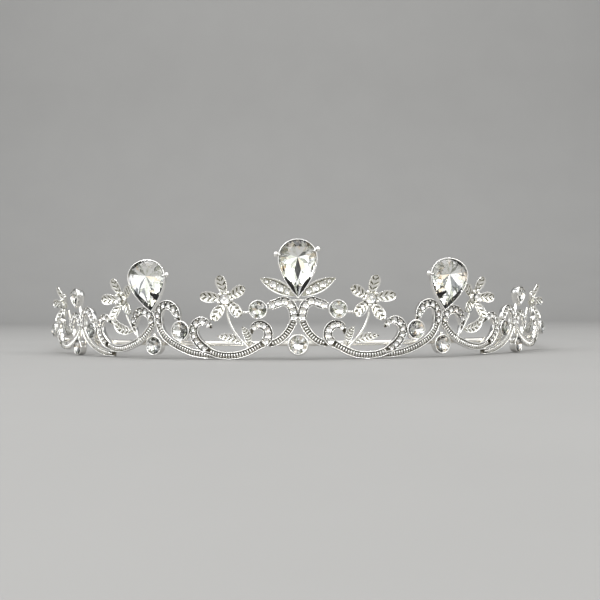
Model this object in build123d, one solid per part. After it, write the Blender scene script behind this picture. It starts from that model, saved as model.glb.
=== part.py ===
from build123d import *
import os
from math import cos, degrees, pi, radians, sin

# A bridal tiara, in millimetres. +Z is up, the front faces -Y, and it stands on its lowest scrolls.
# Lengths called "arc" are measured round the headband's front face from the front middle.
# Depths are measured outwards from that same face. Only the +X half is drawn, and it is mirrored.

# Headband
BAND_RADIUS = 76.0
BAND_HALF_ANGLE = 108.0
BAND_HEIGHT = 1.2
BAND_DEPTH = 1.4
BAND_MID_Z = 3.8
LOOP_BORE_RADIUS = 1.5
LOOP_WALL = 1.0
LOOP_DEPTH = 1.2

# Castings
CAST_DEPTH = 1.3
SCROLL_WIDTH = 1.9
SET_WIDENING = 0.25
STEM_WIDTH = 0.75
SHELL_HEIGHT = 34.0

PETAL_THICKNESS = 0.6
PETAL_LIFT = 22.0
FLOWER_DEPTH = 1.0

# Crystals and their settings
CUP_WALL = 0.35
CUP_LIP = 0.15
PEAR_GIRDLE_DEPTH = 2.3
PEAR_CROWN = 1.6
PEAR_PAVILION = 1.9
PEAR_FULL_WIDTH = 8.9
PRONG_RADIUS = 0.32
PRONG_BALL_RADIUS = 0.6
ROUND_CUP_RADIUS = 2.35
DROP_CUP_RADIUS = 2.45
CENTRE_DROP_CUP_RADIUS = 2.65
ROUND_GIRDLE_DEPTH = 1.8
PAVE_RADIUS = 0.78
PAVE_HEIGHT = 0.6

# The repeating motifs: where each one stands and how large it is cast
SIDE_MOTIF_ARC = 36.5
FAR_MOTIF_ARC = 65.2
FAR_MOTIF_SCALE = 0.9
END_ROUND_ARC = 86.0

# The front of the tallest crystal and the back of the end loops set the depth of the whole,
# and the plan circle's centre is placed so that the origin is in the middle of that depth.
LOOP_OUTER_RADIUS = LOOP_BORE_RADIUS + LOOP_WALL
LOOP_ANGLE = BAND_HALF_ANGLE + degrees((LOOP_OUTER_RADIUS - LOOP_WALL / 2) / BAND_RADIUS)
FRONT_REACH = BAND_RADIUS + PEAR_GIRDLE_DEPTH + PEAR_CROWN


def back_reach():
    """How far the end loops' rims reach behind the plan circle's centre."""
    turn = radians(LOOP_ANGLE)
    outer_face = BAND_RADIUS - BAND_DEPTH / 2 + LOOP_DEPTH / 2
    return -outer_face * cos(turn) + LOOP_OUTER_RADIUS * sin(turn)


CENTRE_Y = (FRONT_REACH - back_reach()) / 2


# ---- Placing ----

def station(arc, depth=0.0, height=0.0):
    """A plane at a place on the headband's front face: X runs along the band, Y up, Z outwards."""
    turn = arc / BAND_RADIUS
    outward = Vector(sin(turn), -cos(turn), 0)
    origin = outward * (BAND_RADIUS + depth) + Vector(0, CENTRE_Y, height)
    return Plane(origin=origin, x_dir=Vector(cos(turn), sin(turn), 0), z_dir=outward)


def shell(inner, outer):
    """The curved layer between two depths, which castings are bent to."""
    ring = Circle(BAND_RADIUS + outer) - Circle(BAND_RADIUS + inner)
    return Pos(0, CENTRE_Y, -1) * extrude(ring, amount=SHELL_HEIGHT)


def casting(outline, middle, inner=0.0, outer=CAST_DEPTH):
    """A flat outline, drawn over arc and height, made solid and bent to the headband."""
    room = 2.5
    seat = station(middle, inner - room)
    block = extrude(seat * Pos(-middle, 0) * outline, amount=outer - inner + room + 0.5)
    return block & shell(inner, outer)


def mirrored(solid):
    return mirror(solid, about=Plane.YZ)


def right_half(solid):
    """What is left of a solid on the right of the tiara's middle."""
    return split(solid, bisect_by=Plane.YZ, keep=Keep.TOP)


def scaled_motif(points, arc, scale):
    """Points drawn about a motif's own middle, moved to its place on the band."""
    return [(arc + scale * u, scale * z) for u, z in points]


# ---- Outlines ----

def curl(centre, radius, first, last, count):
    """Points round a curl, from one angle to another in degrees."""
    step = (last - first) / (count - 1)
    turns = [radians(first + step * index) for index in range(count)]
    return [(centre[0] + radius * cos(turn), centre[1] + radius * sin(turn)) for turn in turns]


def ribbon(points, width_at, count=24):
    """A strip along a smooth curve, as wide at each part of its length as width_at says."""
    path = Spline(*points)
    left = []
    right = []
    for index in range(count + 1):
        part = index / count
        place = path.position_at(part)
        along = path.tangent_at(part)
        side = Vector(-along.Y, along.X) * (width_at(part) / 2)
        left.append(place + side)
        right.append(place - side)
    edges = [Spline(*left), Line(left[-1], right[-1]), Spline(*reversed(right)), Line(right[0], left[0])]
    return make_face(edges)


def tapered(width, start, finish, taper=0.12):
    """A strip's width along its length, narrowed smoothly to the given shares at its two ends."""
    def width_at(part):
        near = min(1.0, part / taper)
        far = min(1.0, (1 - part) / taper)
        first = start + (1 - start) * sin(near * pi / 2)
        last = finish + (1 - finish) * sin(far * pi / 2)
        return width * first * last
    return width_at


def petal_width(width):
    def width_at(part):
        return 0.3 + (width - 0.3) * sin(pi * part ** 1.3) ** 0.8
    return width_at


def leaf(base, tip, width):
    """A pointed leaf between two points, bounded by two arcs."""
    start = Vector(*base)
    finish = Vector(*tip)
    middle = (start + finish) * 0.5
    along = (finish - start).normalized()
    side = Vector(-along.Y, along.X) * (width / 2)
    upper = ThreePointArc(start, middle + side, finish)
    lower = ThreePointArc(finish, middle - side, start)
    return make_face([upper, lower])


def pear_outline(width, length):
    """A pear shape with its point at the origin and its round end above."""
    widest = 0.7698
    half = []
    for index in range(9):
        turn = pi * index / 8
        half.append((width / 2 / widest * sin(turn) * sin(turn / 2), length / 2 * (1 - cos(turn))))
    start_slope = (width / 2 / widest, length)
    right = Spline(*half, tangents=[start_slope, (-1, 0)])
    left = Spline(*[(-x, y) for x, y in half], tangents=[(-start_slope[0], length), (1, 0)])
    return make_face([right, left])


# ---- Crystals and settings ----

def pear_crystal(width, length):
    """A pear-cut crystal lying on its girdle plane, its point at the origin. Small ones are cut lower."""
    girdle = pear_outline(width, length)
    relief = min(1.0, width / PEAR_FULL_WIDTH)
    middle = Pos(0, length * 0.6)
    table = middle * scale(Pos(0, -length * 0.6) * girdle, by=0.55)
    culet = middle * scale(Pos(0, -length * 0.6) * girdle, by=0.3)
    crown = loft([girdle, Pos(0, 0, PEAR_CROWN * relief) * table])
    pavilion = loft([Pos(0, 0, -PEAR_PAVILION * relief) * culet, girdle])
    return crown + pavilion


def pear_place(arc, height, lean, facing):
    """A pear crystal's girdle plane, leaning outwards and turned back to face forwards."""
    return station(arc, PEAR_GIRDLE_DEPTH, height) * Rot(0, -facing, 0) * Rot(0, 0, -lean)


def pear_cup(width, length, prongs):
    """The closed-back cup of a pear crystal, with ball-tipped prongs at the given angles."""
    outer = Pos(0, -CUP_WALL * 1.6) * pear_outline(width + 2 * CUP_WALL, length + 2.6 * CUP_WALL)
    cup = Pos(0, 0, -PEAR_GIRDLE_DEPTH) * extrude(outer, amount=PEAR_GIRDLE_DEPTH + CUP_LIP)
    round_middle = length - width / 2
    for angle in prongs:
        arm = Pos(0, round_middle) * Rot(0, 0, angle)
        reach = width / 2 + 0.9
        post = Rot(0, 90, 0) * Cylinder(PRONG_RADIUS, 1.1)
        cup += arm * Pos(reach - 0.75, 0) * post
        cup += arm * Pos(reach, 0) * Sphere(PRONG_BALL_RADIUS)
    return cup


def round_crystal(radius):
    """A round-cut crystal on its girdle plane."""
    profile = Polyline(
        (0, -0.85 * radius), (radius, -0.08 * radius), (radius, 0.08 * radius),
        (0.55 * radius, 0.45 * radius), (0, 0.45 * radius), close=True)
    return revolve(Plane.XZ * make_face(profile), axis=Axis.Z)


def round_place(arc, height):
    return station(arc, ROUND_GIRDLE_DEPTH, height)


def round_cup(radius):
    """The closed cup of a round crystal, standing on the headband's face."""
    return Pos(0, 0, CUP_LIP / 2 - ROUND_GIRDLE_DEPTH / 2) * Cylinder(radius, ROUND_GIRDLE_DEPTH + CUP_LIP)


def pave_stone(radius):
    """A small crystal with a flat back and a low crown."""
    table = 0.5 * radius
    profile = Polyline(
        (0, 0), (radius, 0), (radius, 0.25 * PAVE_HEIGHT), (table, PAVE_HEIGHT), (0, PAVE_HEIGHT), close=True)
    return revolve(Plane.XZ * make_face(profile), axis=Axis.Z)


def pave_row(points, first, last, count, radius):
    """Small crystals spaced evenly over a stretch of a scroll."""
    path = Spline(*points)
    stones = []
    for index in range(count):
        place = path.position_at(first + (last - first) * index / (count - 1))
        stones.append(station(place.X, CAST_DEPTH, place.Y) * pave_stone(radius))
    return stones


# ---- The headband ----

def headband():
    """A flat wire bent to most of a circle, with an eye at each end."""
    middle_radius = BAND_RADIUS - BAND_DEPTH / 2
    ring = Circle(BAND_RADIUS) - Circle(BAND_RADIUS - BAND_DEPTH)
    wire = extrude(ring, amount=BAND_HEIGHT)
    turn = radians(BAND_HALF_ANGLE)
    far = 3 * middle_radius
    gap = make_face(Polyline(
        (0, 0), (far * sin(turn), -far * cos(turn)), (far, far), (-far, far),
        (-far * sin(turn), -far * cos(turn)), close=True))
    wire -= extrude(gap, amount=BAND_HEIGHT)
    wire = Pos(0, CENTRE_Y, BAND_MID_Z - BAND_HEIGHT / 2) * wire
    eye_arc = radians(LOOP_ANGLE) * BAND_RADIUS
    eye = Cylinder(LOOP_OUTER_RADIUS, LOOP_DEPTH)
    bore = Cylinder(LOOP_BORE_RADIUS, 4 * LOOP_DEPTH)
    for side in (-1, 1):
        seat = station(side * eye_arc, -BAND_DEPTH / 2, BAND_MID_Z)
        wire += seat * eye
        wire -= seat * bore
    return wire


# ---- Scroll lines, over arc and height ----

HEART = [
    (7.0, 12.9), (5.0, 13.5), (3.2, 14.0), (1.5, 13.0), (0.95, 11.2),
    (1.0, 9.6), (1.8, 7.6), (3.0, 5.9), (4.3, 4.75), (5.6, 4.05), (7.0, 3.7)]

FRONT_SCROLL = (
    [(11.15, 6.1), (10.75, 7.5), (9.7, 8.35), (8.3, 8.2), (7.2, 7.0), (7.2, 5.1), (9.5, 3.2),
     (12.5, 1.65), (16.3, 0.9), (20.2, 1.4), (23.1, 2.9), (24.9, 4.7)]
    + curl((23.4, 7.0), 2.3, 0, 165, 5))

# The side motif is drawn about its own middle and repeated, smaller, at the far motif.
HOOK_SCROLL = [
    (-6.9, 9.2), (-5.9, 11.7), (-4.5, 13.1), (-2.9, 13.3), (-1.3, 12.1), (-0.9, 10.0),
    (-1.4, 7.6), (-2.6, 5.7), (-4.6, 4.1), (-7.2, 2.8), (-10.2, 1.7), (-13.6, 1.1), (-16.0, 0.9)]

LOOPED_SCROLL = (
    [(6.2, 6.2), (6.9, 8.2), (6.1, 10.6), (4.1, 11.8), (1.9, 11.1), (0.95, 9.2), (2.2, 6.8),
     (4.6, 4.7), (8.0, 3.1), (12.6, 2.2), (16.2, 3.1), (18.7, 5.2)]
    + curl((17.3, 7.8), 2.4, 0, 165, 5))
LOOP_TIE = [(6.3, 7.0), (5.2, 3.9)]


# The parts of each scroll that are set with crystals, as shares of its length: first, last, count
HEART_ROWS = [(0.06, 0.48, 6)]
FRONT_ROWS = [(0.04, 0.23, 5), (0.70, 0.96, 7)]
HOOK_ROWS = [(0.10, 0.26, 4)]
LOOPED_ROWS = [(0.08, 0.17, 3), (0.75, 0.96, 6)]


def scroll_face(points, rows, start=0.4, finish=0.4):
    """A scroll's outline, wider where it is set with crystals."""
    plain = tapered(SCROLL_WIDTH, start, finish)
    shoulder = 0.05

    def width_at(part):
        widest = 0.0
        for first, last, _ in rows:
            inside = min(part - first, last - part) / shoulder + 1
            widest = max(widest, min(1.0, inside))
        return plain(part) * (1 + SET_WIDENING * widest)
    return ribbon(points, width_at, count=8 * len(points) // 3)


def petal(size):
    """A leaf-shaped petal along +X, cupped forward."""
    outline = ribbon([(0.5, 0), (2.9 * size, 0), (5.8 * size, 0)], petal_width(2.5 * size), count=10)
    return Rot(0, -PETAL_LIFT, 0) * extrude(outline, amount=PETAL_THICKNESS)


def flower(arc, height, size, turn):
    """Five petals round a raised seat for a crystal."""
    middle = station(arc, FLOWER_DEPTH, height)
    bloom = middle * Pos(0, 0, 0.2) * Cylinder(1.15 * size, 1.2)
    for index in range(5):
        bloom += middle * Rot(0, 0, turn + 72 * index) * petal(size)
    return bloom


def flower_crystal(arc, height, size):
    return station(arc, FLOWER_DEPTH + 0.8, height) * pave_stone(0.9 * size)


def pointed_strip(points, width):
    return ribbon(points, petal_width(width), count=10)


def stem(stalk, leaves, middle):
    """A bare stalk with pointed leaves at its foot."""
    shape = Sketch() + ribbon(stalk, tapered(STEM_WIDTH, 1.0, 1.0), count=8)
    for blade in leaves:
        shape += blade
    return casting(shape, middle, 0.2, 1.0)


# ---- Assembly ----

MOTIFS = {"side": (SIDE_MOTIF_ARC, 1.0), "far": (FAR_MOTIF_ARC, FAR_MOTIF_SCALE)}

# arc and height of the middle, radius
ROUND_CUPS = {
    "front": (9.4, 12.0, ROUND_CUP_RADIUS),
    "side": (29.0, 6.9, 1.07 * ROUND_CUP_RADIUS),
    "far": (59.2, 6.7, 0.95 * ROUND_CUP_RADIUS),
    "end": (END_ROUND_ARC, 6.4, 0.9 * ROUND_CUP_RADIUS),
    "side_drop": (36.5, 3.2, DROP_CUP_RADIUS),
    "far_drop": (66.2, 2.2, 0.9 * DROP_CUP_RADIUS)}

# arc and height of the point, lean, turn back to the front, width, length, prong angles
PEARS = {
    "centre": (0.0, 15.0, 0.0, 0.0, PEAR_FULL_WIDTH, 13.6, (25, 168)),
    "side": (36.5, 11.9, 8.5, 15.0, 9.3, 12.6, (177,)),
    "far": (66.6, 13.1, 10.0, 0.0, 3.7, 4.6, ())}

# arc and height of the middle, size, turn of the first petal
FLOWERS = {
    "front": (17.4, 14.6, 1.0, 80),
    "side": (47.4, 14.7, 0.97, 74),
    "far": (76.8, 13.6, 0.9, 78)}

CENTRE_LEAF = ((0.4, 15.3), (9.0, 19.6), 3.2)
LEAF_STONES = ((0.25, 0.72), (0.435, 0.88), (0.64, 0.86), (0.82, 0.45))
FRONT_STALK = [(17.3, 13.4), (16.9, 10.1), (15.8, 7.4), (14.2, 5.2), (12.1, 2.9)]
FRONT_LEAVES = [((12.6, 3.8), (19.6, 5.6), 2.0), ((11.8, 3.5), (13.4, 7.9), 2.0)]
SIDE_STALK = [(10.6, 13.4), (9.6, 10.6), (8.2, 8.2), (6.6, 6.0), (5.2, 4.6)]
SIDE_LEAF = [(7.4, 6.7), (10.2, 6.9), (12.6, 7.9), (13.9, 10.2)]
SIDE_LEAF_WIDTH = 2.7


def cut(solid, *others):
    for other in others:
        solid = solid - other
    return solid


def centre_pieces(nodes):
    """The middle motif's leaf, and the bridge between the heart's two shoulders."""
    crown = (nodes["centre_pear_cup"], nodes["centre_pear_crystal"])
    heart = nodes["heart_scroll"]
    blade = cut(right_half(casting(leaf(*CENTRE_LEAF), 4.5, 0.2, CAST_DEPTH)), *crown, heart)
    nodes["centre_leaf"] = blade
    strip = ribbon([(-2.4, 14.0), (0, 14.25), (2.4, 14.0)], tapered(0.7, 1, 1), 8)
    nodes["centre_bridge"] = cut(
        casting(strip, 0, 0.1, 1.1), *crown, heart, mirrored(heart), blade, mirrored(blade))


def pears_and_cups():
    """Crystals and cups, which the castings are then cut to meet."""
    nodes = {}
    for name, (arc, height, lean, facing, width, length, prongs) in PEARS.items():
        place = pear_place(arc, height, lean, facing)
        crystal = place * pear_crystal(width, length)
        nodes[name + "_pear_crystal"] = crystal
        nodes[name + "_pear_cup"] = place * pear_cup(width, length, prongs) - crystal
    crystals = []
    for name, (arc, height, radius) in ROUND_CUPS.items():
        place = round_place(arc, height)
        crystal = place * round_crystal(radius - CUP_WALL)
        crystals.append(crystal)
        nodes[name + "_cup"] = place * round_cup(radius) - crystal
    nodes["round_crystals"] = Compound(children=crystals)
    place = round_place(0, 3.6)
    nodes["centre_drop_crystal"] = place * round_crystal(CENTRE_DROP_CUP_RADIUS - CUP_WALL - 0.2)
    nodes["centre_drop_cup"] = place * round_cup(CENTRE_DROP_CUP_RADIUS) - nodes["centre_drop_crystal"]
    return nodes


def scrolls(nodes):
    """The scroll castings of one half, each cut to meet its neighbours."""
    def pear(name):
        return nodes[name + "_pear_cup"], nodes[name + "_pear_crystal"]

    front = casting(scroll_face(FRONT_SCROLL, FRONT_ROWS), 16)
    nodes["front_scroll"] = cut(front, nodes["front_cup"], nodes["side_cup"])
    heart = right_half(casting(scroll_face(HEART, HEART_ROWS, 0.95, 0.6), 4))
    nodes["heart_scroll"] = cut(
        heart, nodes["front_cup"], nodes["front_scroll"], nodes["centre_drop_cup"], *pear("centre"))
    before = nodes["front_scroll"]
    for name, following in (("side", "far_cup"), ("far", "end_cup")):
        motif = MOTIFS[name]
        drop = nodes[name + "_drop_cup"]
        hook = casting(scroll_face(scaled_motif(HOOK_SCROLL, *motif), HOOK_ROWS, 0.4, 0.4), motif[0] - 6)
        hook = cut(hook, *pear(name), drop, nodes[name + "_cup"], before)
        outline = scroll_face(scaled_motif(LOOPED_SCROLL, *motif), LOOPED_ROWS)
        outline += leaf(*scaled_motif(LOOP_TIE, *motif), 1.0)
        looped = casting(outline, motif[0] + 10)
        looped = cut(looped, *pear(name), drop, nodes[following], hook)
        nodes[name + "_hook_scroll"] = hook
        nodes[name + "_looped_scroll"] = looped
        before = looped


def flowers_and_stems(nodes):
    """The blooms between the motifs, each on its stalk."""
    stalks = {"front": (FRONT_STALK, [leaf(*blade) for blade in FRONT_LEAVES], "front_scroll")}
    for name, motif in MOTIFS.items():
        blade = pointed_strip(scaled_motif(SIDE_LEAF, *motif), SIDE_LEAF_WIDTH)
        stalks[name] = (scaled_motif(SIDE_STALK, *motif), [blade], name + "_looped_scroll")
    fixed = [solid for name, solid in nodes.items() if name.endswith(("_cup", "_scroll", "pear_crystal"))]
    crystals = []
    for name, place in FLOWERS.items():
        crystal = flower_crystal(*place[:3])
        crystals.append(crystal)
        nodes[name + "_flower"] = cut(flower(*place), crystal, *fixed)
        points, leaves, scroll = stalks[name]
        branch = stem(points, leaves, place[0] - 3)
        nodes[name + "_stem"] = cut(branch, nodes[scroll], nodes[name + "_flower"])
    nodes["flower_crystals"] = Compound(children=crystals)


def set_rows(points, rows, size=1.0):
    stones = []
    for first, last, count in rows:
        stones += pave_row(points, first, last, count, PAVE_RADIUS * size)
    return stones


def pave_stones():
    """The rows of small crystals on one half's scrolls."""
    stones = set_rows(HEART, HEART_ROWS) + set_rows(FRONT_SCROLL, FRONT_ROWS)
    for arc, size in MOTIFS.values():
        stones += set_rows(scaled_motif(HOOK_SCROLL, arc, size), HOOK_ROWS, size)
        stones += set_rows(scaled_motif(LOOPED_SCROLL, arc, size), LOOPED_ROWS, size)
    return stones


def leaf_stones():
    base, tip, width = CENTRE_LEAF
    stones = []
    for share, radius in LEAF_STONES:
        arc = base[0] + (tip[0] - base[0]) * share
        height = base[1] + (tip[1] - base[1]) * share
        stones.append(station(arc, CAST_DEPTH, height) * pave_stone(radius))
    return stones


def build():
    """Every sub-part of the whole tiara by node name."""
    half = pears_and_cups()
    scrolls(half)
    flowers_and_stems(half)
    centre_pieces(half)
    half["pave_crystals"] = Compound(children=pave_stones() + leaf_stones())

    nodes = {"headband": headband()}
    for name, solid in half.items():
        if name.startswith("centre_") and name != "centre_leaf":
            nodes[name] = solid
        else:
            nodes["right_" + name] = solid
            nodes["left_" + name] = mirrored(solid)
    return nodes


if __name__ == "__main__":
    os.makedirs("parts", exist_ok=True)
    for node, shape in build().items():
        export_step(shape, "parts/" + node + ".step")
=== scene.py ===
import math

import bmesh
import bpy
import numpy as np
from mathutils import Matrix, Vector


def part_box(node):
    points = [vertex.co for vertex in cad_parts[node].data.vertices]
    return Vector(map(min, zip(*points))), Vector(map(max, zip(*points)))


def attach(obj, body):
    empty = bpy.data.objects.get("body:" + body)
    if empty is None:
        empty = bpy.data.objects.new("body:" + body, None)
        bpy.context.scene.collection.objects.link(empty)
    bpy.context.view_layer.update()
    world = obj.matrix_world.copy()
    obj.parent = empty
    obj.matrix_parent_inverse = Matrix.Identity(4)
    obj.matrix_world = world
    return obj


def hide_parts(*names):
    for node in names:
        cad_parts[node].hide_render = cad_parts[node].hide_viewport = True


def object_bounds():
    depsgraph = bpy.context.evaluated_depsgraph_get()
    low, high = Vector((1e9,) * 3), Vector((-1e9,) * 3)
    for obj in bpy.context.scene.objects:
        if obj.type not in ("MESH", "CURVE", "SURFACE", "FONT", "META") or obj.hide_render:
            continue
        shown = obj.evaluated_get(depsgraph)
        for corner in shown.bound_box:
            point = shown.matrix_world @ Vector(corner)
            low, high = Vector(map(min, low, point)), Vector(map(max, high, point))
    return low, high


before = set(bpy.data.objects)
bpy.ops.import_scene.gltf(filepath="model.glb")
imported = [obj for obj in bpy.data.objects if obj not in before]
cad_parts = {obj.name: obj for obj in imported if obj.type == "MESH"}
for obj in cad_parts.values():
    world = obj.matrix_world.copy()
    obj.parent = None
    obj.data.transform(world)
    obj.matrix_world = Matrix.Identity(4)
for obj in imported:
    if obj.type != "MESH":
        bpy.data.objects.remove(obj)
cad_low, cad_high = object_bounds()

# The looks of a bridal tiara: cast silver-plated scrolls, flowers and leaves set with foiled crystals.
# Sizes are in millimetres until a mesh is made. A place on the tiara is given as an arc round the
# headband's front face from the front middle, a height, and a depth outwards from that face.
# Everything is made for the right half, and the left half is its mirror image.

MM = 0.001
rng = np.random.default_rng(11)

# ---- Sizes read from the frame ----

band_low, band_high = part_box("headband")
RADIUS = band_high.x / MM
CENTRE_Y = band_low.y / MM + RADIUS
BAND_MID_Z = (band_low.z + band_high.z) / 2 / MM

# ---- Driving sizes ----

BAND_HALF_ANGLE = 108.0
BAND_HEIGHT = 1.2
BAND_DEPTH = 1.4
EYE_BORE = 1.5
EYE_WALL = 1.0
EYE_DEPTH = 1.2

SCROLL_HALF_WIDTH = 0.945
# A scroll's ribs: pitch, depth, half width, height, and half length as a share of the half width
RIB_PITCH = 0.67
RIB_DEPTH = 0.80
RIB_HALF_WIDTH = 0.22
RIB_OUT = 0.40
RIB_REACH = 0.58
# The beads that hold a row's crystals: depth, then offset and radius as shares of the crystal's radius
CLAW_DEPTH = 1.50
CLAW_OFFSET = 0.76
CLAW_SIZE = 0.30
STALK_RADIUS = 0.36
STALK_DEPTH = 0.65
STONE_SEAT = 1.32
GIRDLE_DEPTH = 1.8
PEAR_GIRDLE = 2.3
CUP_WALL = 0.35
# A pear cup's prongs: ball radius, reach past the widest point, neck radius and its place behind the ball
PRONG_BALL = 0.66
PRONG_REACH = 0.9
PRONG_NECK = 0.3
PRONG_NECK_SETBACK = 0.85

# ---- Scroll lines, over arc and height ----


def curl(centre, radius, first, last, count):
    """Points round a curl, from one angle to another in degrees."""
    step = (last - first) / (count - 1)
    turns = [math.radians(first + step * index) for index in range(count)]
    return [(centre[0] + radius * math.cos(turn), centre[1] + radius * math.sin(turn)) for turn in turns]


HEART = [
    (7.0, 12.9), (5.0, 13.5), (3.3, 14.0), (1.8, 13.1), (1.05, 11.2),
    (1.0, 9.7), (1.8, 7.6), (3.0, 5.9), (4.3, 4.75), (5.6, 4.05), (7.0, 3.7)]

FRONT_SCROLL = (
    [(11.15, 6.1), (10.75, 7.5), (9.7, 8.35), (8.3, 8.2), (7.2, 7.0), (7.2, 5.1), (9.5, 3.2),
     (12.5, 1.65), (16.3, 0.9), (20.2, 1.4), (23.1, 2.9), (24.9, 4.7)]
    + curl((23.4, 7.0), 2.3, 0, 165, 5))

# The side motif is drawn about its own middle and repeated, smaller, at the far motif.
HOOK_SCROLL = [
    (-6.9, 9.2), (-5.9, 11.7), (-4.5, 13.1), (-2.9, 13.3), (-1.3, 12.1), (-0.9, 10.0),
    (-1.4, 7.6), (-2.6, 5.7), (-4.6, 4.1), (-7.2, 2.8), (-10.2, 1.7), (-13.6, 1.1), (-16.0, 0.9)]

LOOPED_SCROLL = (
    [(6.2, 6.2), (6.9, 8.2), (6.1, 10.6), (4.1, 11.8), (1.9, 11.1), (0.95, 9.2), (2.2, 6.8),
     (4.6, 4.7), (8.0, 3.1), (12.6, 2.2), (16.2, 3.1), (18.7, 5.2)]
    + curl((17.3, 7.8), 2.4, 0, 165, 5))
LOOP_TIE = [(6.3, 7.0), (5.9, 5.4), (5.2, 3.9)]

MOTIFS = {"side": (36.5, 1.0), "far": (65.2, 0.9)}

# arc and height of the middle, size, turn of the first petal in degrees
FLOWERS = {
    "front": (17.4, 14.6, 1.0, 80),
    "side": (47.4, 14.7, 0.97, 74),
    "far": (76.8, 13.6, 0.9, 78)}

CENTRE_LEAF = [(0.4, 15.3), (9.0, 19.6)]
CENTRE_LEAF_WIDTH = 3.2
LEAF_STONES = [(0.25, 0.72), (0.435, 0.88), (0.64, 0.86), (0.82, 0.45)]
FAR_NECK = [(66.75, 13.5), (66.2, 12.0), (65.5, 10.4), (65.25, 9.0)]
CUP_LINK = [(11.4, 11.6), (13.0, 11.3), (14.4, 11.5)]
BRIDGE = [(-2.4, 14.0), (0, 14.25), (2.4, 14.0)]
FRONT_STALK = [(17.3, 13.4), (16.9, 10.1), (15.8, 7.4), (14.2, 5.2), (12.1, 2.9)]
FRONT_LEAVES = [
    ([(12.6, 3.8), (16.2, 5.2), (19.6, 5.6)], 2.1),
    ([(11.8, 3.5), (12.2, 5.8), (13.4, 7.9)], 2.1)]
SIDE_STALK = [(10.6, 13.4), (9.6, 10.6), (8.2, 8.2), (6.6, 6.0), (5.2, 4.6)]
SIDE_LEAF = [(7.4, 6.7), (10.2, 6.9), (12.6, 7.9), (13.9, 10.2)]
SIDE_LEAF_WIDTH = 2.8

# The shares of each scroll's length that are set with crystals, and the crystals' radii at both ends
HEART_ROWS = [(0.05, 0.48, 0.84, 0.82)]
FRONT_ROWS = [(0.05, 0.235, 0.62, 0.84), (0.675, 0.965, 0.62, 0.82)]
HOOK_ROWS = [(0.06, 0.38, 0.80, 0.72)]
LOOPED_ROWS = [(0.08, 0.27, 0.78, 0.80), (0.73, 0.96, 0.64, 0.82)]


# ---- Placing ----


def bend(places):
    """World points of places given as rows of arc, height and depth."""
    places = np.asarray(places, float)
    turn = places[..., 0] / RADIUS
    reach = RADIUS + places[..., 2]
    return np.stack([reach * np.sin(turn), CENTRE_Y - reach * np.cos(turn), places[..., 1]], axis=-1)


class Station:
    """A flat place on the tiara: x runs along the band, y up, and z outwards, with y leaning towards +x.

    A facing angle in degrees turns the place back to the front.
    """

    def __init__(self, arc, height, depth, lean=0.0, facing=0.0):
        turn = arc / RADIUS
        root = np.array([math.sin(turn), -math.cos(turn), 0.0]) * (RADIUS + depth)
        turn -= math.radians(facing)
        out = np.array([math.sin(turn), -math.cos(turn), 0.0])
        along = np.array([math.cos(turn), math.sin(turn), 0.0])
        up = np.array([0.0, 0.0, 1.0])
        tilt = math.radians(lean)
        self.axes = np.array([
            math.cos(tilt) * along - math.sin(tilt) * up,
            math.sin(tilt) * along + math.cos(tilt) * up,
            out])
        self.origin = root + np.array([0.0, CENTRE_Y, height])

    def place(self, points):
        return self.origin + np.asarray(points, float) @ self.axes


def on_band(point):
    """The arc, height and depth of a world point in metres."""
    x, y = point[0] / MM, CENTRE_Y - point[1] / MM
    return RADIUS * math.atan2(x, y), point[2] / MM, math.hypot(x, y) - RADIUS


def round_setting(node):
    """The arc, height and radius of a round cup, from its node in the frame."""
    low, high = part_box(node)
    arc, height, _ = on_band((low + high) / 2)
    return arc, height, (high.z - low.z) / 2 / MM


def pear_setting(node, lean, facing):
    """The station at a leaning pear crystal's point, its width and its length, from its node in the frame."""
    points = np.array([v.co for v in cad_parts[node].data.vertices]) / MM
    arc, height, _ = on_band(points[points[:, 2].argmin()] * MM)
    station = Station(arc, height, PEAR_GIRDLE, lean, facing)
    across, up, _ = station.axes @ (points - station.origin).T
    return station, across.max() - across.min(), up.max()


def scaled_motif(points, arc, scale):
    """Points drawn about a motif's own middle, moved to its place on the band."""
    return [(arc + scale * u, scale * z) for u, z in points]


# ---- Curves ----


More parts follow.
